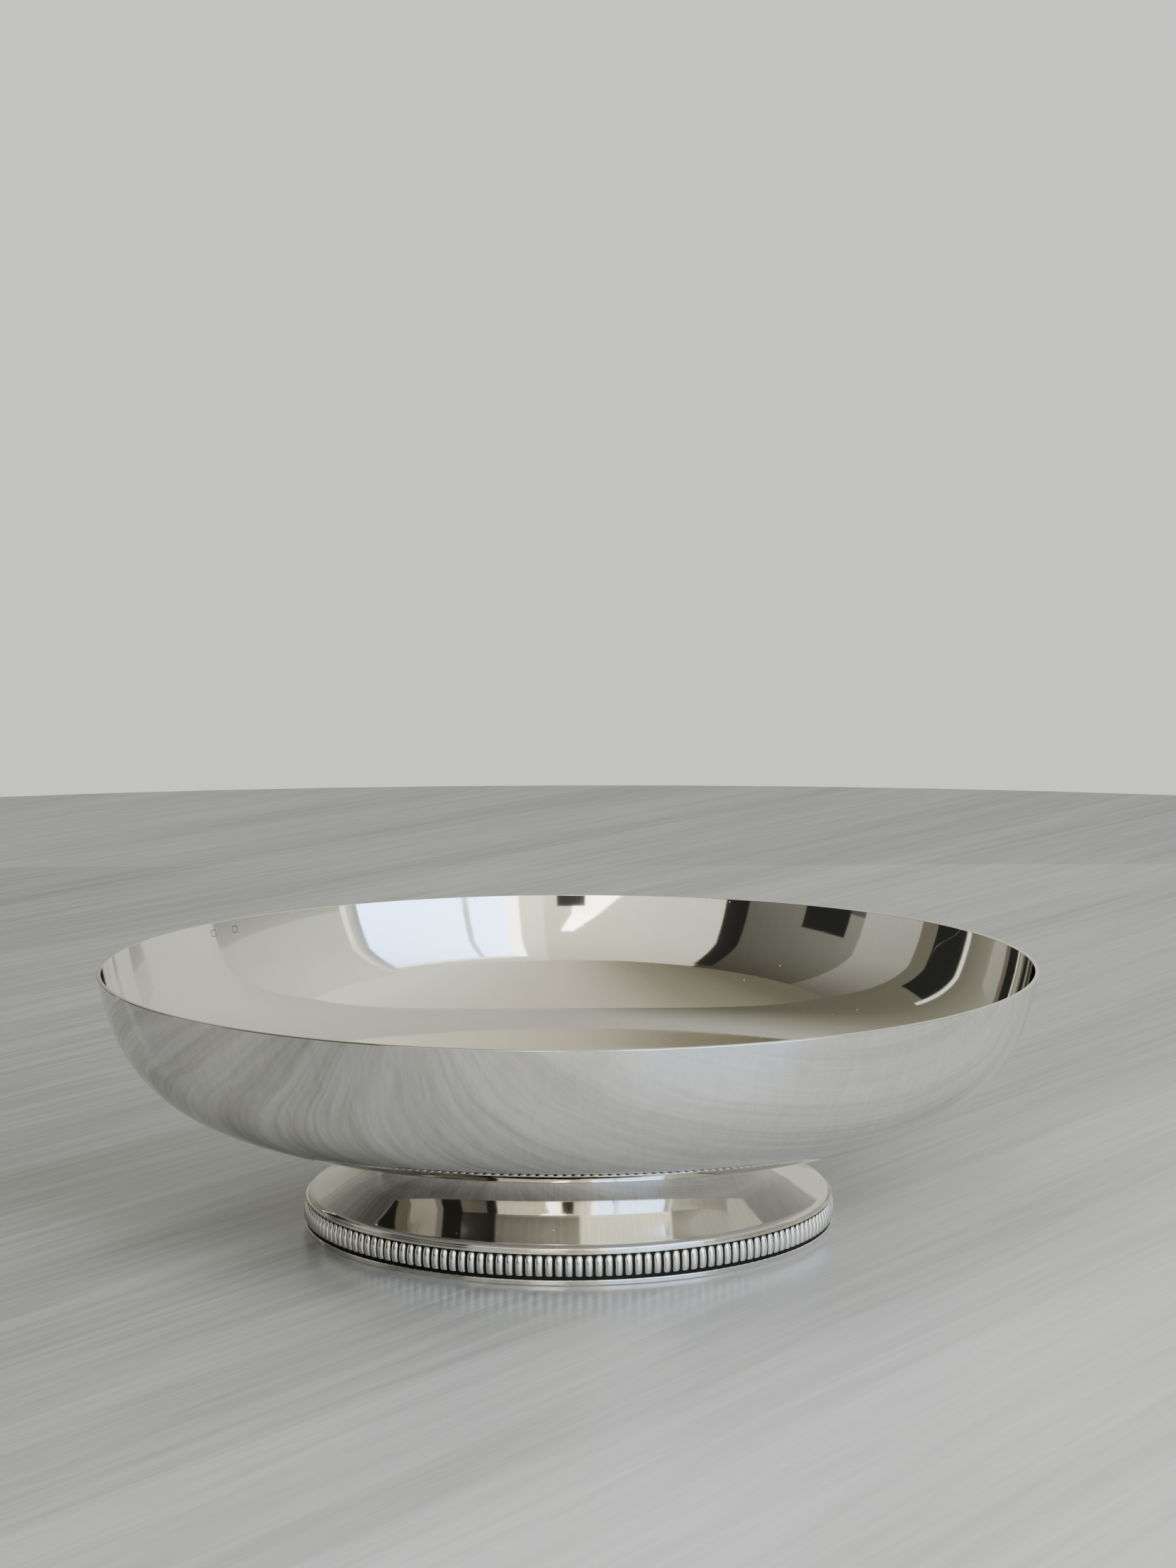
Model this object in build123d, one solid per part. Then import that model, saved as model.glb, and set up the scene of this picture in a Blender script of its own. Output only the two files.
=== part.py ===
from build123d import *
from math import cos, degrees, radians, sin
import os

# A footed punch bowl in silver-plated metal: a spun bowl soldered on a spun, spreading foot.
# The foot's turned-down skirt carries an applied border, made of a plain edge wire, a strip
# of upright reeds and a plain base ring. Millimetres, +Z up, origin on the axis at the table.

# The bowl: one sheet, whose side is arcs that run on into each other down to the floor.
# Each arc is its radius and the lean from upright, in degrees, that it ends at.
rim_radius = 170.0
bowl_height = 95.4
bowl_wall = 1.5
rim_lean = 10.5
side_arcs = [(125.2, 19.1), (51.7, 65.0), (95.1, 82.5), (717.0, 90.0)]
rim_edge_round = 0.4

# The foot: one sheet that rises as a skirt, folds in over a lip and sweeps up to the bowl.
# Each turn is its radius and the direction, in degrees from upright, that it ends at.
foot_wall = 1.0
skirt_radius = 95.0
skirt_bottom = 0.4
skirt_top = 11.9
foot_turns = [(1.2, 31.0), (3.0, 69.0), (78.0, 59.0), (23.0, 2.0)]
seat_width = 6.0

# The applied border
base_ring_radius = 96.3
base_ring_inside = 92.8
base_ring_height = 1.95
base_ring_round = 0.4
band_radius = 95.4
band_top = 10.6
edge_wire_radius = 95.95
edge_wire_top = 11.6
edge_wire_round = 0.35

# One reed: a rounded tongue, crowned across its width and bellied over its height
reed_count = 176
reed_crest = 96.75
reed_crest_height = 5.9
reed_bottom = 3.0
reed_top = 10.35
reed_bottom_width = 2.85
reed_top_width = 2.55
reed_bottom_round = 0.4
reed_top_round = 0.75
reed_crown = 1.6
reed_belly = 11.2
reed_root_depth = 0.25

# Two blank square punch marks inside the rim
mark_size = 2.4
mark_gap = 12.5
mark_depth = 0.12
mark_below_rim = 4.0
mark_azimuth = 143.5


def walk(start, heading, moves, shift=0.0):
    """Edges of an outline whose moves run on smoothly, moved sideways to the left by shift.

    A move is ("run", length) or ("turn", radius, degrees), positive turns being to the left.
    """
    left = Vector(-sin(radians(heading)), cos(radians(heading)))
    point = Vector(*start) + left * shift
    edges = []
    for kind, size, *turn in moves:
        tangent = Vector(cos(radians(heading)), sin(radians(heading)))
        if kind == "run":
            edges.append(Line(point, point + tangent * size))
        else:
            radius = size - shift if turn[0] > 0 else size + shift
            edges.append(JernArc(point, tangent, radius, turn[0]))
            heading += turn[0]
        point = edges[-1] @ 1
    return edges


def turned(*outline):
    """Solid of revolution about the vertical axis, from edges in the plane of radius, height."""
    return revolve(Plane.XZ * make_face(outline), Axis.Z)


def sheet(start, heading, moves, shift):
    """Turned sheet between the moves and the same moves shifted sideways."""
    near = walk(start, heading, moves)
    far = walk(start, heading, moves, shift)
    return turned(*near, *far, Line(near[0] @ 0, far[0] @ 0), Line(near[-1] @ 1, far[-1] @ 1))


def turned_ring(inside, outside, bottom, top):
    """Plain ring of rectangular section."""
    corners = [(inside, bottom), (outside, bottom), (outside, top), (inside, top)]
    return turned(*Polyline(*corners, close=True).edges())


def outer_edges(solid, radius):
    """The circular edges of a turned solid at a radius."""
    return [edge for edge in solid.edges().filter_by(GeomType.CIRCLE) if abs(edge.radius - radius) < 0.01]


def bowl_moves():
    """The outer side of the bowl as moves, from the rim down to the axis."""
    moves = []
    lean = rim_lean
    radius = rim_radius
    for arc_radius, next_lean in side_arcs:
        moves.append(("turn", arc_radius, lean - next_lean))
        radius -= arc_radius * (cos(radians(lean)) - cos(radians(next_lean)))
        lean = next_lean
    moves.append(("run", radius))
    return moves


def bowl_shell():
    """The bowl with a flat rim and two small square punch marks on the wall inside it."""
    start = (rim_radius, bowl_height)
    heading = 270 - rim_lean
    outside = walk(start, heading, bowl_moves())
    inside = walk(start, heading, bowl_moves(), -bowl_wall)
    rim = Line(outside[0] @ 0, inside[0] @ 0)
    centre = Line(outside[-1] @ 1, inside[-1] @ 1)
    shell = turned(*outside, *inside, rim, centre)
    shell -= turned_ring(rim_radius - 5, rim_radius + 5, bowl_height, bowl_height + 5)
    shell = fillet(outer_edges(shell, rim_radius), rim_edge_round)
    return shell - punch_marks()


def punch_marks():
    """The two blank squares that the marks' punches sink into the wall."""
    side_radius, side_lean = side_arcs[0][0], radians(rim_lean)
    sweep = mark_below_rim / side_radius
    lean = side_lean + sweep
    radius = rim_radius - side_radius * (cos(side_lean) - cos(lean)) - bowl_wall * cos(lean)
    height = bowl_height - mark_below_rim * cos(lean)
    marks = []
    for side in (-1, 1):
        azimuth = mark_azimuth + side * degrees(mark_gap / 2 / radius)
        punch = Pos(radius, 0, height) * Rot(0, degrees(lean), 0) * Box(2 * mark_depth, mark_size, mark_size)
        marks.append(Rot(0, 0, azimuth) * punch)
    return marks


def bowl_body():
    """Everything inside the bowl's outer side, up to the rim."""
    side = walk((rim_radius, bowl_height), 270 - rim_lean, bowl_moves())
    return turned(*side, Line(side[-1] @ 1, (0, bowl_height)), Line((0, bowl_height), side[0] @ 0))


def foot_moves():
    """The outer side of the foot as moves, from the skirt's lower edge up into the bowl."""
    moves = [("run", skirt_top - skirt_bottom)]
    lean = 0.0
    for radius, next_lean in foot_turns:
        moves.append(("turn", radius, next_lean - lean))
        lean = next_lean
    return moves


def foot_shell():
    """The foot, with a narrow seat turned in under the bowl where the two are soldered."""
    sweep = sheet((skirt_radius, skirt_bottom), 90, foot_moves(), foot_wall)
    neck = walk((skirt_radius, skirt_bottom), 90, foot_moves())[-1] @ 1
    seat = turned_ring(neck.X - seat_width, neck.X, 0, bowl_height) & bowl_body()
    seat = Pos(0, 0, -foot_wall) * seat
    return sweep + seat - bowl_body()


def base_ring():
    """The plain ring that the bowl stands on."""
    ring = turned_ring(base_ring_inside, base_ring_radius, 0, base_ring_height)
    ring -= turned_ring(base_ring_inside - 1, skirt_radius, skirt_bottom, base_ring_height + 1)
    return fillet(outer_edges(ring, base_ring_radius), base_ring_round)


def edge_wire():
    """The thin plain wire along the top of the border."""
    wire = turned_ring(skirt_radius, edge_wire_radius, band_top, edge_wire_top)
    return fillet(outer_edges(wire, edge_wire_radius), edge_wire_round)


def reed():
    """One tongue of the border, on the +X side."""
    half_bottom, half_top = reed_bottom_width / 2, reed_top_width / 2
    outline = Polyline(
        (-half_bottom, reed_bottom),
        (half_bottom, reed_bottom),
        (half_top, reed_top),
        (-half_top, reed_top),
        close=True,
    )
    face = make_face(outline)
    face = fillet(face.vertices().group_by(Axis.Y)[-1], reed_top_round)
    face = fillet(face.vertices().group_by(Axis.Y)[0], reed_bottom_round)
    root = band_radius - reed_root_depth
    tongue = Pos(root, 0, 0) * extrude(Plane.YZ * face, reed_crest - root + 1)
    centre = Location((reed_crest - reed_belly, 0, reed_crest_height), (90, 0, 0))
    return tongue & centre * Torus(reed_belly - reed_crown, reed_crown)


def reeded_border():
    """The strip of reeds round the skirt, all on one thin band."""
    band = turned_ring(skirt_radius, band_radius, base_ring_height, band_top)
    tongue = reed()
    return band + [Rot(0, 0, turn * 360 / reed_count) * tongue for turn in range(reed_count)]


def main():
    os.makedirs("parts", exist_ok=True)
    for piece in (bowl_shell, foot_shell, edge_wire, reeded_border, base_ring):
        export_step(piece(), f"parts/{piece.__name__}.step")


main()
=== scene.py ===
import math

import bpy
from mathutils import Matrix, Vector


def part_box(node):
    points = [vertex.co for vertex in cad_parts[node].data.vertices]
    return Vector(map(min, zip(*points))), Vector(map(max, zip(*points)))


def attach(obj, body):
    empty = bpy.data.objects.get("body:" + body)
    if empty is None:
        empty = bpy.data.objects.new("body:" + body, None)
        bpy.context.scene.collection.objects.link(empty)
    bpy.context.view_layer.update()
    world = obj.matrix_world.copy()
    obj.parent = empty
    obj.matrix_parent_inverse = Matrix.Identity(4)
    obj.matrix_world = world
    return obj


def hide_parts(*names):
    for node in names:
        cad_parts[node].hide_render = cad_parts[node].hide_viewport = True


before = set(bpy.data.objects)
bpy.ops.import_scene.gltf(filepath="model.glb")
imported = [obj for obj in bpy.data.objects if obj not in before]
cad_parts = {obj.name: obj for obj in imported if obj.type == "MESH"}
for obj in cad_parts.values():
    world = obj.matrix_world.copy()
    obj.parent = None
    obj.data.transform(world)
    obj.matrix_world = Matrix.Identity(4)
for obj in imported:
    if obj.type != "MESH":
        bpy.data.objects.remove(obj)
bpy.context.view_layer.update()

mm = 0.001
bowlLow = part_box("bowl_shell")[0]
footLow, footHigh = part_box("foot_shell")
wireLow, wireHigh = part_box("edge_wire")
borderLow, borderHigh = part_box("reeded_border")
ringLow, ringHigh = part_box("base_ring")
print("frame loaded")


# node maths: a wire is a socket, and sums on wires add their own Math nodes
class Wire:
    def __init__(self, tree, socket):
        self.tree = tree
        self.socket = socket

    def maths(self, operation, *values):
        return self.tree.node("ShaderNodeMath", {"operation": operation}, dict(enumerate(values)))

    def __add__(self, other):
        return self.maths("ADD", self, other)

    def __radd__(self, other):
        return self.maths("ADD", other, self)

    def __sub__(self, other):
        return self.maths("SUBTRACT", self, other)

    def __rsub__(self, other):
        return self.maths("SUBTRACT", other, self)

    def __mul__(self, other):
        return self.maths("MULTIPLY", self, other)

    def __rmul__(self, other):
        return self.maths("MULTIPLY", other, self)

    def __truediv__(self, other):
        return self.maths("DIVIDE", self, other)

    def __abs__(self):
        return self.maths("ABSOLUTE", self)

    # 0 below low, 1 above high, smooth between
    def between(self, low, high, start=0.0, end=1.0):
        values = {"Value": self, "From Min": low, "From Max": high, "To Min": start, "To Max": end}
        return self.tree.node("ShaderNodeMapRange", {"interpolation_type": "SMOOTHSTEP"}, values)


class Tree:
    def __init__(self, name):
        self.material = bpy.data.materials.new(name)
        self.material.use_nodes = True
        self.graph = self.material.node_tree
        self.graph.nodes.clear()

    def node(self, kind, settings=None, values=None, output=0):
        made = self.graph.nodes.new(kind)
        for key, value in (settings or {}).items():
            setattr(made, key, value)
        for key, value in (values or {}).items():
            if isinstance(value, Wire):
                self.graph.links.new(value.socket, made.inputs[key])
            else:
                made.inputs[key].default_value = value
        return Wire(self, made.outputs[output]) if made.outputs else made

    def mix(self, factor, first, second):
        return self.node("ShaderNodeMix", {"data_type": "RGBA"}, {0: factor, 6: first, 7: second}, 2)

    def noise(self, where, scale, detail=2.0, roughness=0.5, distortion=0.0):
        values = {"Vector": where, "Scale": scale, "Detail": detail}
        values.update({"Roughness": roughness, "Distortion": distortion})
        return self.node("ShaderNodeTexNoise", {}, values)

    def object(self):
        return self.node("ShaderNodeTexCoord", {}, {}, 3)

    def parts(self, vector):
        split = self.node("ShaderNodeSeparateXYZ", {}, {0: vector})
        return [Wire(self, socket) for socket in split.socket.node.outputs]

    # distance from the axis, angle round it and height, of a point on the piece
    def round(self):
        x, y, z = self.parts(self.object())
        square = x * x + y * y
        return square.maths("SQRT", square), y.maths("ARCTAN2", y, x), z

    def vector(self, x, y, z):
        return self.node("ShaderNodeCombineXYZ", {}, {0: x, 1: y, 2: z})

    def finish(self, surface):
        self.node("ShaderNodeOutputMaterial", {}, {"Surface": surface})
        return self.material


def grey(value, tint=(1, 1, 1)):
    return (value * tint[0], value * tint[1], value * tint[2], 1)


def dimmed(colour, share):
    return tuple(v * share for v in colour[:3]) + (1,)


# An outline is made of moves that run on smoothly: (length,) is a straight run, and
# (radius, degrees) a turn, to the left if the degrees are positive. Each point keeps the
# normals of the stretches before and after it, so that corners stay crisp.
def outlineOf(start, heading, moves, step=2.0):
    r, z = start
    points = []
    for move in moves:
        first = heading
        if len(move) == 1:
            slope = math.radians(heading)
            stretch = [(r + move[0] * math.cos(slope), z + move[0] * math.sin(slope))]
            headings = [heading]
        else:
            radius, turn = move
            side = math.copysign(1, turn)
            count = max(3, math.ceil(abs(turn) / step))
            slope = math.radians(heading)
            centre = (r - side * radius * math.sin(slope), z + side * radius * math.cos(slope))
            headings = [heading + turn * (i + 1) / count for i in range(count)]
            stretch = [(centre[0] + side * radius * math.sin(math.radians(h)),
                        centre[1] - side * radius * math.cos(math.radians(h))) for h in headings]
            heading = headings[-1]
        if not points:
            points.append([(r, z), None, first])
        else:
            points[-1][2] = first
        for place, h in zip(stretch, headings):
            points.append([place, h, h])
        r, z = stretch[-1]
    return points


def normalOf(heading):
    return math.sin(math.radians(heading)), -math.cos(math.radians(heading))


# A closed outline, or one that starts and ends on the axis, turned into a mesh
def spin(name, points, material, steps=512):
    closed = points[0][0][0] > 1e-6 or points[-1][0][0] > 1e-6
    vertices, rows = [], []
    for (r, z), before, after in points:
        if r < 1e-7:
            rows.append([len(vertices)] * steps)
            vertices.append((0, 0, z))
            continue
        rows.append([len(vertices) + k for k in range(steps)])
        for k in range(steps):
            angle = 2 * math.pi * k / steps
            vertices.append((r * math.cos(angle), r * math.sin(angle), z))
    faces, normals = [], []
    pairs = list(zip(range(len(points)), range(1, len(points))))
    if closed:
        pairs.append((len(points) - 1, 0))
    for low, high in pairs:
        lowNormal = normalOf(points[low][2])
        highNormal = normalOf(points[high][1] if points[high][1] is not None else points[high][2])
        for k in range(steps):
            after = (k + 1) % steps
            corners = [(low, k, lowNormal), (low, after, lowNormal)]
            corners += [(high, after, highNormal), (high, k, highNormal)]
            if points[low][0][0] < 1e-7:
                corners.pop(1)
            elif points[high][0][0] < 1e-7:
                corners.pop(2)
            faces.append([rows[row][column] for row, column, _ in corners])
            for row, column, (nr, nz) in corners:
                angle = 2 * math.pi * column / steps
                normals.append((nr * math.cos(angle), nr * math.sin(angle), nz))
    mesh = bpy.data.meshes.new(name)
    mesh.from_pydata(vertices, [], faces)
    mesh.materials.append(material)
    mesh.shade_smooth()
    mesh.normals_split_custom_set(normals)
    piece = bpy.data.objects.new(name, mesh)
    bpy.context.scene.collection.objects.link(piece)
    return piece


plateLook = {
    "colour": (0.905, 0.887, 0.845, 1),
    "roughness": 0.028,
    "smear": 0.05,          # how much rougher the rubbed patches are
    "lineScale": 900,       # polishing lines per metre of wall
    "lineDepth": 0.10,
    "dustSize": 0.045,
    "outside": 0.76,        # how bright the outside is painted against the inside: painted shade for its dimmer reflections
}


# The two blank punch marks inside the rim
punches = {
    "azimuths": (math.radians(141.39), math.radians(145.61)),
    "radius": 169.0 * mm,
    "height": 91.4 * mm,
    "inside": 168.6 * mm,
    "half": 1.2 * mm,
    "line": 0.35 * mm,
}


# 1 on the edges of the punch marks, 0 elsewhere
def punchEdges(size, radius, angle, height):
    up = abs(height - size["height"])
    first, second = [abs(angle - azimuth) * size["radius"] for azimuth in size["azimuths"]]
    across = first.maths("MINIMUM", first, second)
    reach = across.maths("MAXIMUM", across, up)
    edge = abs(reach - size["half"]).between(0, size["line"], 1, 0)
    return edge * (radius - size["inside"]).between(0, 0.4 * mm, 1, 0)


# Polished plate: faint rubbing patches, fine polishing lines round the axis, stray hairlines and dust
def silverPlate(name, look, wear=1.0, dust=1.0, marks=None):
    tree = Tree(name)
    place = tree.object()
    radius, angle, height = tree.round()
    x, y, z = tree.parts(place)
    normalX, normalY, normalZ = tree.parts(tree.node("ShaderNodeTexCoord", {}, {}, 1))
    outside = ((normalX * x + normalY * y) / radius - normalZ).between(-0.1, 0.1)
    rub = tree.noise(place, 14, 3, 0.55, 0.8).between(0.42, 0.72)
    drawn = tree.vector(radius * look["lineScale"], angle * 5, height * look["lineScale"])
    lines = tree.noise(drawn, 1.0, 3, 0.7)
    swirl = tree.noise(tree.vector(radius * 60, angle * 30, height * 60), 1.0, 4, 0.6, 1.5)
    hair = abs(tree.noise(place, 9, 1, 0.4, 2.2) - 0.5).between(0.0, 0.0016, 1, 0)
    hair = hair * tree.noise(place, 23, 1).between(0.6, 0.68)
    cells = tree.node("ShaderNodeTexVoronoi", {}, {"Vector": place, "Scale": 210})
    cellColour = Wire(tree, cells.socket.node.outputs["Color"])
    picked = tree.node("ShaderNodeSeparateColor", {}, {0: cellColour})
    speck = cells.between(look["dustSize"], look["dustSize"] + 0.03, 1, 0)
    speck = speck * picked.between(0.80, 0.86) * dust
    tint = tree.mix(rub * 0.35 * wear, look["colour"], dimmed(look["colour"], 0.93))
    tint = tree.mix(swirl.between(0.35, 0.7) * 0.16 * wear, tint, (0.80, 0.775, 0.725, 1))
    # painted shade: the outward faces are darkened towards the outside tone, and the swirl wear varies
    # how much
    outsideShade = outside * (0.75 + swirl.between(0.4, 0.65) * 0.25) * wear
    tint = tree.mix(outsideShade, tint, dimmed(look["colour"], look["outside"]))
    stamp = punchEdges(marks, radius, angle, height) if marks else radius * 0
    roughness = look["roughness"] + rub * look["smear"] * wear + lines * 0.02 * wear
    roughness = roughness + hair * 0.2 + speck * 0.4
    bumpy = tree.node("ShaderNodeBump", {}, {
        "Strength": look["lineDepth"] * wear, "Distance": 0.00002,
        "Height": lines + swirl * 0.6 - hair * 2 - stamp * 4,
    })
    surface = tree.node("ShaderNodeBsdfPrincipled", {}, {
        "Base Color": tree.mix(stamp * 0.9 + speck * 0.4, tint, (0.22, 0.21, 0.19, 1)),
        "Metallic": 1 - speck * 0.7, "Roughness": roughness, "Normal": bumpy,
    })
    return tree.finish(surface)


border = {
    "band": 95.4 * mm,
    "reeds": 176,
    "foot": 3.0 * mm,
    "head": 10.35 * mm,
    "footWidth": 2.85 * mm,
    "headWidth": 2.55 * mm,
    "crest": 96.75 * mm,
    "crestHeight": 5.9 * mm,
    "belly": 11.2 * mm,
    "crown": 1.6 * mm,
    "across": 14,
    "upward": 18,
}

borderLook = {
    "crest": (0.94, 0.93, 0.90, 1),
    # root: near black, old tarnish together with painted shade between the reeds
    "root": (0.010, 0.008, 0.006, 1),
    "shade": (0.60, 0.59, 0.56, 1),
    "brass": (0.62, 0.50, 0.30, 1),
    "rootDepth": 0.5 * mm,
}


# Plate on the reeds: bright on the crests, darker over the lower part of each reed as painted shade, and
# dark with old tarnish and painted shade in the gaps towards the root of each reed
def reedPlate(name, look, band):
    tree = Tree(name)
    place = tree.object()
    radius, angle, height = tree.round()
    # 0 at the root, 1 on the crest: where the tarnish and painted shade of the gaps give way to bright
    #                                plate
    clearOfRootTarnishAndShade = (radius - band).between(-0.05 * mm, look["rootDepth"])
    patch = tree.noise(place, 60, 3, 0.6)
    worn = patch.between(0.55, 0.75) * 0.35
    # painted shade: the lower part of each reed is mixed towards the shade colour
    low = (height - 4.0 * mm) * 1000
    bright = tree.mix(low.between(0, 4, 0.55, 0), look["crest"], look["shade"])
    bright = tree.mix(worn, bright, (0.66, 0.62, 0.52, 1))
    grain = tree.noise(place, 2400, 2)
    bumpy = tree.node("ShaderNodeBump", {}, {"Strength": 0.12, "Distance": 0.00004, "Height": grain})
    surface = tree.node("ShaderNodeBsdfPrincipled", {}, {
        "Base Color": tree.mix(clearOfRootTarnishAndShade, look["root"], bright), "Metallic": 1.0,
        "Roughness": 0.6 - clearOfRootTarnishAndShade * 0.47 + patch * 0.05, "Normal": bumpy,
    })
    return tree.finish(surface)


# The thin wire over the reeds, whose plate is rubbed through to brass in places
def wornWire(name, look):
    tree = Tree(name)
    place = tree.object()
    radius, angle, height = tree.round()
    rubbed = tree.noise(place, 35, 3, 0.6).between(0.42, 0.66) * 0.75
    surface = tree.node("ShaderNodeBsdfPrincipled", {}, {
        "Base Color": tree.mix(rubbed, look["crest"], look["brass"]), "Metallic": 1.0,
        "Roughness": 0.16 + rubbed * 0.12,
        "Normal": tree.node("ShaderNodeBump", {}, {
            "Strength": 0.15, "Distance": 0.00005, "Height": tree.noise(place, 1500, 2)}),
    })
    return tree.finish(surface)


bowlPlate = silverPlate("bowlPlate", plateLook, 1.0, 1.0, punches)
footPlate = silverPlate("footPlate", plateLook, 0.7, 0.5)
reedSilver = reedPlate("reedSilver", borderLook, border["band"])
wireSilver = wornWire("wireSilver", borderLook)
print("finishes made")


bowl = {
    "wall": 1.5 * mm,
    "rimRound": 0.4 * mm,
    "rimInside": 0.3 * mm,
    "floorArc": (717.0 * mm, 7.5),
    "shoulderArc": (95.1 * mm, 17.5),
    "bellyArc": (51.7 * mm, 45.9),
    "sideArc": (125.2 * mm, 8.35),
    "flatFloor": 16.83 * mm,
}


def makeBowl(size):
    arcs = [size[key] for key in ("floorArc", "shoulderArc", "bellyArc", "sideArc")]
    lean = sum(turn for _, turn in arcs)
    rimTop = size["wall"] / math.sin(math.radians(lean))
    outside, inside = size["rimRound"], size["rimInside"]
    flat = rimTop - outside * math.tan(math.radians((180 - lean) / 2))
    flat -= inside * math.tan(math.radians(lean / 2))
    moves = [(size["flatFloor"],)] + arcs + [(outside, 180 - lean), (flat,), (inside, lean)]
    moves += [(radius - size["wall"], -turn) for radius, turn in reversed(arcs)]
    points = outlineOf((0, bowlLow.z), 0, moves, 1.2)
    points.append([(0, bowlLow.z + size["wall"]), 180, 180])
    piece = spin("bowl", points, bowlPlate, 720)
    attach(piece, "root")
    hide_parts("bowl_shell")


makeBowl(bowl)
print("bowl turned")


foot = {
    "wall": 1.0 * mm,
    "skirtTop": 11.9 * mm,
    "turns": ((1.2 * mm, 31.0), (3.0 * mm, 38.0), (78.0 * mm, -10.0), (23.0 * mm, -48.3)),
    "edge": 0.2 * mm,
    "seat": 5.6 * mm,
    "seatSlope": 4.0,
}


def makeFoot(size):
    edge, wall = size["edge"], size["wall"]
    turns = size["turns"]
    lean = sum(turn for _, turn in turns)
    moves = [(wall / 2 - edge,), (edge, 90), (size["skirtTop"] - footLow.z - edge,)]
    moves += list(turns)
    toSeat = 90 + size["seatSlope"] - lean
    moves += [(0.15 * mm, toSeat), (size["seat"],), (0.3 * mm, 90), (wall - 0.6 * mm,), (0.3 * mm, 90)]
    moves += [(size["seat"] - wall,), (0.6 * mm, -toSeat)]
    moves += [(radius + (wall if turn < 0 else -wall), -turn) for radius, turn in reversed(turns)]
    points = outlineOf((footHigh.x - wall / 2, footLow.z), 0, moves, 2.0)
    points.append([(footHigh.x - wall, footLow.z + edge), 270, 270])
    points += outlineOf((footHigh.x - wall, footLow.z + edge), 270, [(edge, 90)])[1:]
    piece = spin("foot", points, footPlate, 512)
    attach(piece, "root")
    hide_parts("foot_shell")


makeFoot(foot)
print("foot turned")



# A ring of rectangular section with small rounded corners
def ringOf(name, inside, outside, low, high, corner, material):
    moves = [(outside - inside - 2 * corner,), (corner, 90), (high - low - 2 * corner,), (corner, 90),
             (outside - inside - 2 * corner,), (corner, 90), (high - low - 2 * corner,), (corner, 90)]
    points = outlineOf((inside + corner, low), 0, moves, 15)[:-1]
    points[0][1] = 0
    return spin(name, points, material, 512)


# The height of a reed's face over its band, across u and up v, both from -1 to 1
def reedPoint(size, u, v):
    height = (size["foot"] + size["head"]) / 2 + v * (size["head"] - size["foot"]) / 2
    width = size["footWidth"] + (size["headWidth"] - size["footWidth"]) * (v + 1) / 2
    rounding = 1 - 0.45 * max(0, (v - 0.62) / 0.38) ** 2.4 - 0.2 * max(0, (-v - 0.8) / 0.2) ** 2.4
    side = u * width / 2 * rounding
    rise = height - size["crestHeight"]
    crest = size["crest"] - size["belly"] + math.sqrt(size["belly"] ** 2 - rise ** 2)
    face = crest - size["crown"] + math.sqrt(max(0, size["crown"] ** 2 - side ** 2))
    edge = (1 - abs(u) ** 9) ** 0.5 * (1 - abs(v) ** 22) ** 0.5
    radius = size["band"] - 0.1 * mm + (face - size["band"] + 0.1 * mm) * edge
    return radius, side, height


def makeReeds(size):
    columns = [math.sin(math.pi / 2 * (2 * i / size["across"] - 1)) for i in range(size["across"] + 1)]
    rows = [math.sin(math.pi / 2 * (2 * j / size["upward"] - 1)) for j in range(size["upward"] + 1)]
    vertices, faces = [], []
    for reed in range(size["reeds"]):
        turn = Matrix.Rotation(2 * math.pi * reed / size["reeds"], 3, "Z")
        first = len(vertices)
        for v in rows:
            for u in columns:
                vertices.append(turn @ Vector(reedPoint(size, u, v)))
        wide = len(columns)
        for j in range(len(rows) - 1):
            for i in range(wide - 1):
                at = first + j * wide + i
                faces.append((at, at + 1, at + wide + 1, at + wide))
    mesh = bpy.data.meshes.new("reeds")
    mesh.from_pydata(vertices, [], faces)
    mesh.materials.append(reedSilver)
    mesh.shade_smooth()
    piece = bpy.data.objects.new("reeds", mesh)
    bpy.context.scene.collection.objects.link(piece)
    return piece


reeds = makeReeds(border)
band = ringOf("reedBand", footHigh.x, border["band"], borderLow.z, borderHigh.z, 0.05 * mm, reedSilver)
wire = ringOf("edgeWire", footHigh.x, wireHigh.x, wireLow.z, wireHigh.z, 0.3 * mm, wireSilver)
for piece, node in ((reeds, "reeded_border"), (band, "reeded_border"), (wire, "edge_wire")):
    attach(piece, "root")
    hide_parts(node)

baseRing = ringOf("baseRing", 92.8 * mm, ringHigh.x, ringLow.z, ringHigh.z, 0.4 * mm, footPlate)
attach(baseRing, "root")
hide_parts("base_ring")
print("border and base ring made")


studio = {
    "tableDark": 0.30,
    "tableLight": 0.84,
    "tableGloss": 0.27,
    "backdrop": (0.93, 0.94, 0.91),
    "reach": 3.2,                   # from the far side of the bowl to the room's cards
    "eye": (0, 0.15, 0.09),         # where the cards' directions are seen from
    "stage": 1.4,
    "sweep": 0.3,
    "ceiling": 3.85,
    "backWall": 0.95,
    "key": 31.0,
    "fill": 12.0,
    "sky": 0.52,
}


def plain(name, points, faces, material, camera=False):
    mesh = bpy.data.meshes.new(name)
    mesh.from_pydata(points, [], faces)
    mesh.materials.append(material)
    mesh.shade_smooth()
    made = bpy.data.objects.new(name, mesh)
    bpy.context.scene.collection.objects.link(made)
    made.visible_camera = camera
    return made


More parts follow.
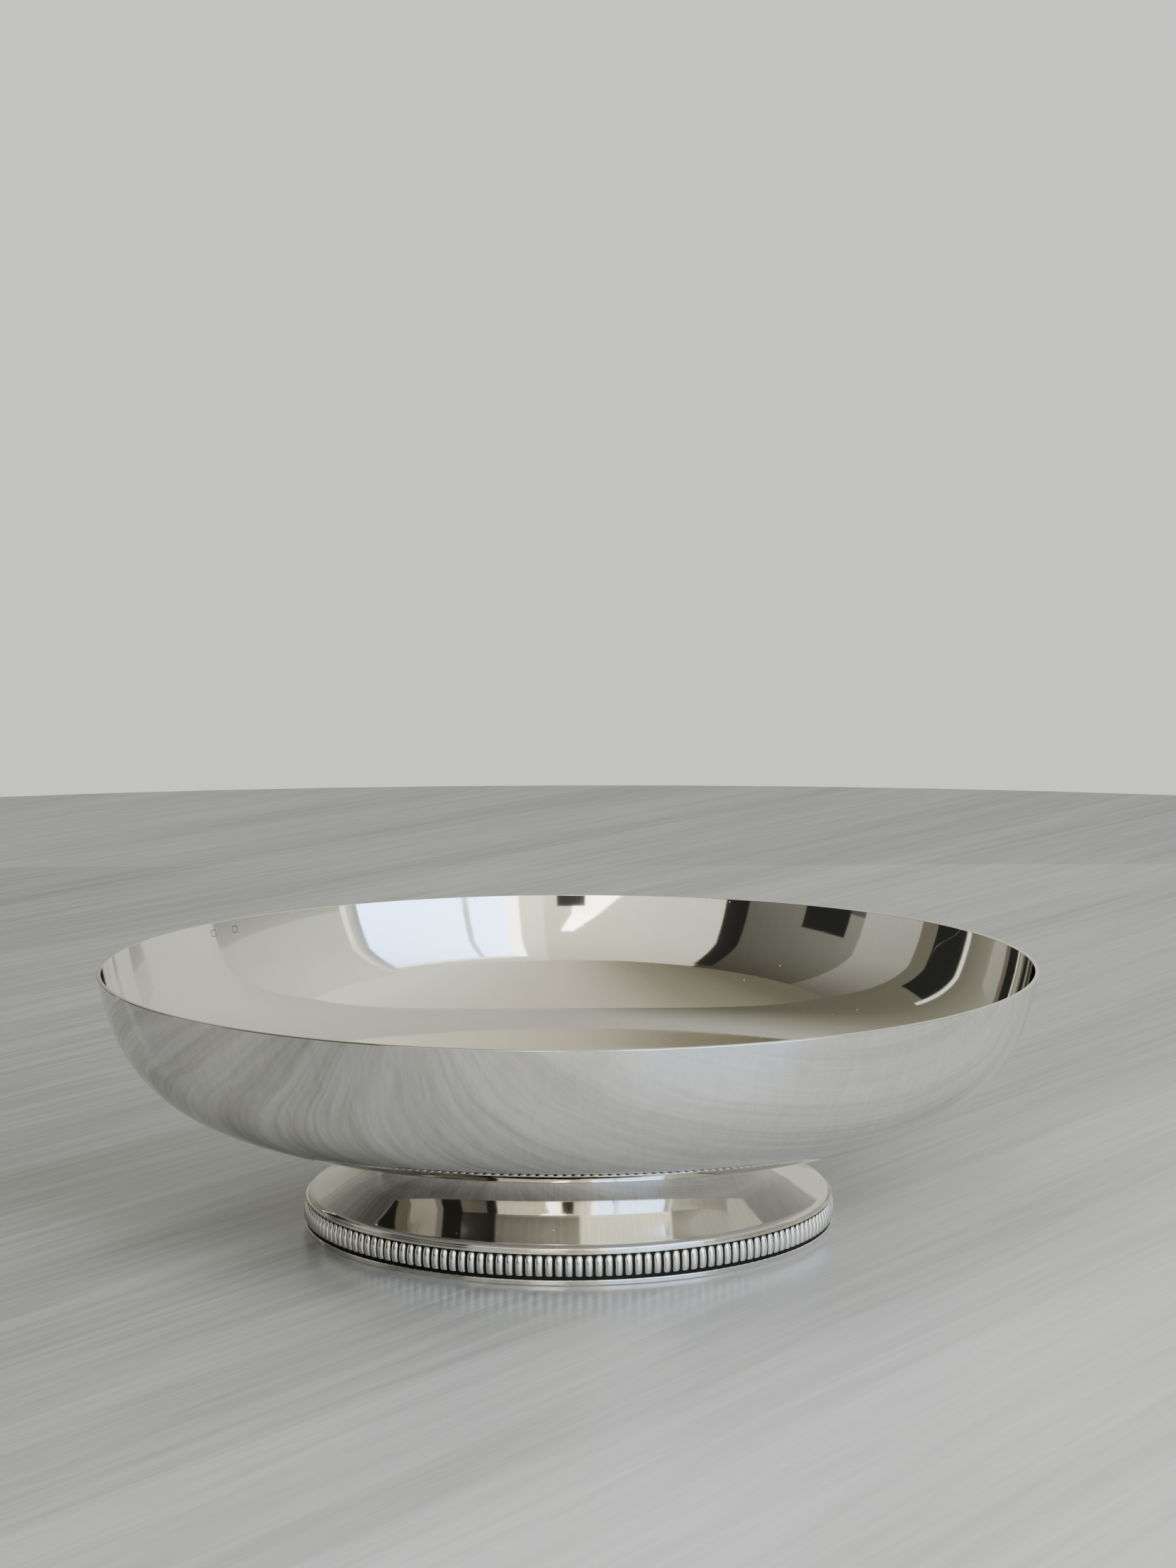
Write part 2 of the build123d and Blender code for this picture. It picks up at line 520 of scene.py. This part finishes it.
# The pale table, with faint streaks that run away from the viewer to the right
def tableTop():
    tree = Tree("paleTable")
    x, y, z = tree.parts(tree.object())
    across, along = x * 0.823 - y * 0.567, x * 0.567 + y * 0.823
    broad = tree.noise(tree.vector(across * 16, along * 0.8, 0), 1.0, 3, 0.6, 0.3)
    fine = tree.noise(tree.vector(across * 150, along * 5, 0), 1.0, 4, 0.7, 0.6)
    tone = broad.between(0.3, 0.68, 0, 0.26) + fine.between(0.3, 0.7, 0, 0.22)
    tone = tone + across.between(-0.02, 0.24, 0, 0.52)
    low, high = grey(studio["tableDark"], (0.985, 1, 0.975)), grey(studio["tableLight"], (0.99, 1, 0.99))
    surface = tree.node("ShaderNodeBsdfPrincipled", {}, {
        "Base Color": tree.mix(tone, low, high), "Roughness": studio["tableGloss"]})
    return tree.finish(surface)


def backdrop():
    tree = Tree("backdrop")
    glow = {"Color": (*studio["backdrop"], 1), "Strength": 1.0}
    return tree.finish(tree.node("ShaderNodeEmission", {}, glow))


# Floor and sweep are one round stage, flat at first and then curving up
def makeStage():
    flat, curve = studio["stage"], studio["sweep"]
    angles = [math.radians(7.5 * i) for i in range(1, 13)]
    profile = [(0.001, 0), (0.3, 0), (1.0, 0), (flat, 0)]
    profile += [(flat + curve * math.sin(a), curve - curve * math.cos(a)) for a in angles]
    profile += [(flat + curve, 1.0), (flat + curve, 6.0)]
    steps = 96
    points, faces = [], []
    for r, z in profile:
        for k in range(steps):
            angle = 2 * math.pi * k / steps
            points.append((r * math.cos(angle), r * math.sin(angle), z))
    for row in range(len(profile) - 1):
        for k in range(steps):
            after = (k + 1) % steps
            low, high = row * steps, (row + 1) * steps
            faces.append((low + k, low + after, high + after, high + k))
    plain("stageFloor", points, faces[: 3 * steps], tableTop(), True)
    sweep = plain("stageSweep", points, faces[3 * steps:], backdrop(), True)
    sweep.visible_glossy = False
    sweep.visible_diffuse = False
    sweep.visible_shadow = False


# One glowing finish for every card: its colour is kept at the card's points
def cardGlow():
    tree = Tree("cardGlow")
    colour = tree.node("ShaderNodeAttribute", {"attribute_name": "glow"})
    return tree.finish(tree.node("ShaderNodeEmission", {}, {"Color": colour, "Strength": 1.0}))


cardFinish = cardGlow()


def blend(first, second, share):
    return tuple(a + (b - a) * share for a, b in zip(first, second))


# A glowing card of the room: azimuths in degrees round from the viewer's side towards the
# right, elevations in degrees up. Colours are for its first and last azimuth, low and then high;
# azimuths above are those of its upper edge, where they differ.
def card(name, azimuths, elevations, colours, distance=None, above=None):
    reach = distance or studio["reach"]
    eye = studio["eye"]
    lowFirst, lowLast, highFirst, highLast = (colours * 4)[:4] if len(colours) < 4 else colours
    count, rows = max(1, math.ceil((azimuths[1] - azimuths[0]) / 6)), 6
    points, faces, glows = [], [], []
    for i in range(count + 1):
        for j in range(rows + 1):
            left, right = blend(azimuths, above or azimuths, j / rows)
            azimuth = math.radians(left + (right - left) * i / count)
            elevation = math.radians(elevations[0] + (elevations[1] - elevations[0]) * j / rows)
            points.append((eye[0] + reach * math.sin(azimuth), eye[1] - reach * math.cos(azimuth),
                           eye[2] + reach * math.tan(elevation)))
            low, high = blend(lowFirst, lowLast, i / count), blend(highFirst, highLast, i / count)
            glows.append(blend(low, high, j / rows))
    for i in range(count):
        for j in range(rows):
            at = i * (rows + 1) + j
            faces.append((at, at + 1, at + rows + 2, at + rows + 1))
    return glowing(name, points, faces, glows)


def glowing(name, points, faces, glows):
    made = plain(name, points, faces, cardFinish)
    layer = made.data.color_attributes.new("glow", "FLOAT_COLOR", "POINT")
    for item, colour in zip(layer.data, glows):
        item.color = (*colour, 1)
    made.visible_diffuse = False
    made.visible_shadow = False
    return made


# A level or upright sheet of the room, as a grid whose colour comes from a rule of x, y and z
def sheetOf(name, corner, sideA, sideB, rule, count=24):
    points, faces = [], []
    for i in range(count + 1):
        for j in range(count + 1):
            points.append(Vector(corner) + Vector(sideA) * (i / count) + Vector(sideB) * (j / count))
    for i in range(count):
        for j in range(count):
            at = i * (count + 1) + j
            faces.append((at, at + 1, at + count + 2, at + count + 1))
    return glowing(name, points, faces, [rule(*point) for point in points])


# The tone at a place between stops, each a place and a colour
def between(place, stops):
    for (low, first), (high, second) in zip(stops, stops[1:]):
        if place <= high:
            return blend(first, second, max(0, (place - low) / (high - low)))
    return stops[-1][1]


def ceilingTone(x, y, z):
    return between(x, [(-2.4, (0.16, 0.15, 0.105)), (-1.0, (0.32, 0.31, 0.225)),
                       (0.0, (0.70, 0.66, 0.53)), (2.2, (1.05, 1.06, 0.90))])


def wallTone(x, y, z):
    side = between(x, [(-1.1, (0.16, 0.155, 0.115)), (-0.5, (0.28, 0.28, 0.22)),
                       (0.1, (0.66, 0.66, 0.58)), (1.2, (0.78, 0.79, 0.72))])
    return blend(side, tuple(0.86 * v for v in side), min(1, max(0, (z - 0.5) / 2.0)))


def makeRoom():
    cream, creamLeft, bright = (1.45, 1.42, 1.08), (0.95, 0.96, 0.82), (2.1, 2.1, 1.7)
    dark, high = (0.022, 0.023, 0.020), studio["ceiling"]
    card("frontWall", (-43, 6.5), (9, 49),
         [creamLeft, cream, (0.75, 0.74, 0.60), (0.85, 0.82, 0.66)])
    card("lowWall", (-43, 6.5), (-3, 9),
         [(0.16, 0.165, 0.15), (0.28, 0.29, 0.26), (0.26, 0.26, 0.24), (0.7, 0.7, 0.6)])
    card("windowWall", (6.5, 62), (-3, 49),
         [bright, bright, (1.05, 1.03, 0.86), (1.05, 1.03, 0.88)])
    card("shadeWall", (-84, -43), (10, 52),
         [(0.26, 0.26, 0.22), (0.12, 0.12, 0.10), (0.075, 0.07, 0.05), (0.055, 0.05, 0.037)])
    card("darkCabinet", (-84, -43), (-3, 10),
         [(0.07, 0.07, 0.06), (0.02, 0.022, 0.02), (0.10, 0.10, 0.085), (0.03, 0.03, 0.027)])
    card("leftWall", (-150, -84), (-3, 52),
         [(0.30, 0.30, 0.27), (0.60, 0.60, 0.52), (0.13, 0.12, 0.095), (0.11, 0.10, 0.08)])
    card("rightWall", (62, 150), (12, 52),
         [(0.78, 0.80, 0.72), (0.48, 0.48, 0.46), (1.0, 1.0, 0.86), (0.70, 0.70, 0.62)])
    card("rightLow", (62, 150), (-3, 12),
         [(0.16, 0.165, 0.14), (0.24, 0.24, 0.22), (0.60, 0.61, 0.54), (0.38, 0.38, 0.36)])
    card("windowPane", (16, 57), (9, 43.5),
         [(3.4, 5.0, 7.6), (3.0, 4.6, 7.0), (3.4, 4.6, 6.4), (2.0, 2.8, 4.2)], 3.14)
    card("windowFrame", (13, 16.4), (8, 44.5), [(5.0, 5.0, 4.6)], 3.12)
    card("windowBar", (26.3, 28.0), (9, 43.5), [(1.1, 1.2, 1.25)], 3.10)
    card("windowSill", (16, 58), (43.2, 45.0), [(2.2, 2.3, 2.3)], 3.10)
    card("windowJamb", (57, 60.5), (9, 46), [(0.42, 0.42, 0.38), (1.0, 1.0, 0.9)], 3.10)
    card("sunPatch", (-17, -2), (9, 20), [(6.0, 6.0, 5.2)], 3.12, (-8, -1))
    card("sunPatchHigh", (-8, -1), (20, 26), [(7.0, 7.0, 6.0)], 3.12, (-1.5, 2))
    card("lamp", (-4.6, 3.0), (12.5, 17.2), [(0.05, 0.05, 0.045)], 3.05)
    card("darkEdge", (-48.5, -42.0), (9, 47), [(0.02, 0.02, 0.018), (0.03, 0.03, 0.026)], 3.10)
    card("darkShelf", (-79, -65), (-3, 17), [dark], 3.10)
    card("darkDoor", (-124, -110.5), (-6, 29), [dark], 1.35)
    card("doorTrim", (-128, -124.5), (-6, 32), [(1.1, 1.1, 0.98)], 1.35)
    card("doorSide", (-136, -128.4), (-6, 34), [(0.16, 0.16, 0.14), (0.09, 0.09, 0.08)], 1.36)
    sheetOf("ceiling", (-4.5, -4.5, high), (9, 0, 0), (0, 5.45, 0), ceilingTone)
    sheetOf("backWall", (-3.2, studio["backWall"], -0.3), (7.5, 0, 0), (0, 0, high + 0.3), wallTone)


def areaLight(name, azimuth, elevation, distance, size, power, colour):
    data = bpy.data.lights.new(name, "AREA")
    data.shape = "DISK"
    data.size = size
    data.energy = power
    data.color = colour
    made = bpy.data.objects.new(name, data)
    bpy.context.scene.collection.objects.link(made)
    a, e = math.radians(azimuth), math.radians(elevation)
    level = distance * math.cos(e)
    made.location = (level * math.sin(a), -level * math.cos(a), distance * math.sin(e))
    made.rotation_mode = "QUATERNION"
    made.rotation_quaternion = made.location.to_track_quat("Z", "Y")
    made.visible_glossy = False
    return made


def makeLight():
    areaLight("windowLight", 38, 32, 2.2, 1.5, studio["key"], (0.97, 0.99, 1.0))
    areaLight("roomLight", -60, 65, 2.2, 2.4, studio["fill"], (1.0, 0.985, 0.95))
    world = bpy.data.worlds.new("studioAir")
    bpy.context.scene.world = world
    world.use_nodes = True
    background = world.node_tree.nodes["Background"]
    background.inputs[0].default_value = (0.96, 0.97, 0.95, 1)
    background.inputs[1].default_value = studio["sky"]


camera = {
    "distance": 7.365,      # in rim radii
    "height": 1.7825,
    "turn": 0.00585,
    "tilt": -0.1134,
    "roll": -0.00206,
    "lens": 80.07,
}


def makeCamera(size):
    rim = 170.0 * mm
    turn, tilt, roll = size["turn"], size["tilt"], size["roll"]
    ahead = Vector((math.sin(turn) * math.cos(tilt), math.cos(turn) * math.cos(tilt), math.sin(tilt)))
    right = Vector((math.cos(turn), -math.sin(turn), 0))
    up = right.cross(ahead)
    c, s = math.cos(roll), math.sin(roll)
    right, up = c * right + s * up, c * up - s * right
    data = bpy.data.cameras.new("camera")
    data.sensor_fit = "VERTICAL"
    data.sensor_height = 36
    data.lens = size["lens"]
    data.clip_start = 0.01
    made = bpy.data.objects.new("camera", data)
    bpy.context.scene.collection.objects.link(made)
    made.matrix_world = Matrix((
        (right.x, up.x, -ahead.x, 0),
        (right.y, up.y, -ahead.y, -size["distance"] * rim),
        (right.z, up.z, -ahead.z, size["height"] * rim),
        (0, 0, 0, 1)))
    bpy.context.scene.camera = made


makeStage()
makeRoom()
makeLight()
makeCamera(camera)
print("studio set")
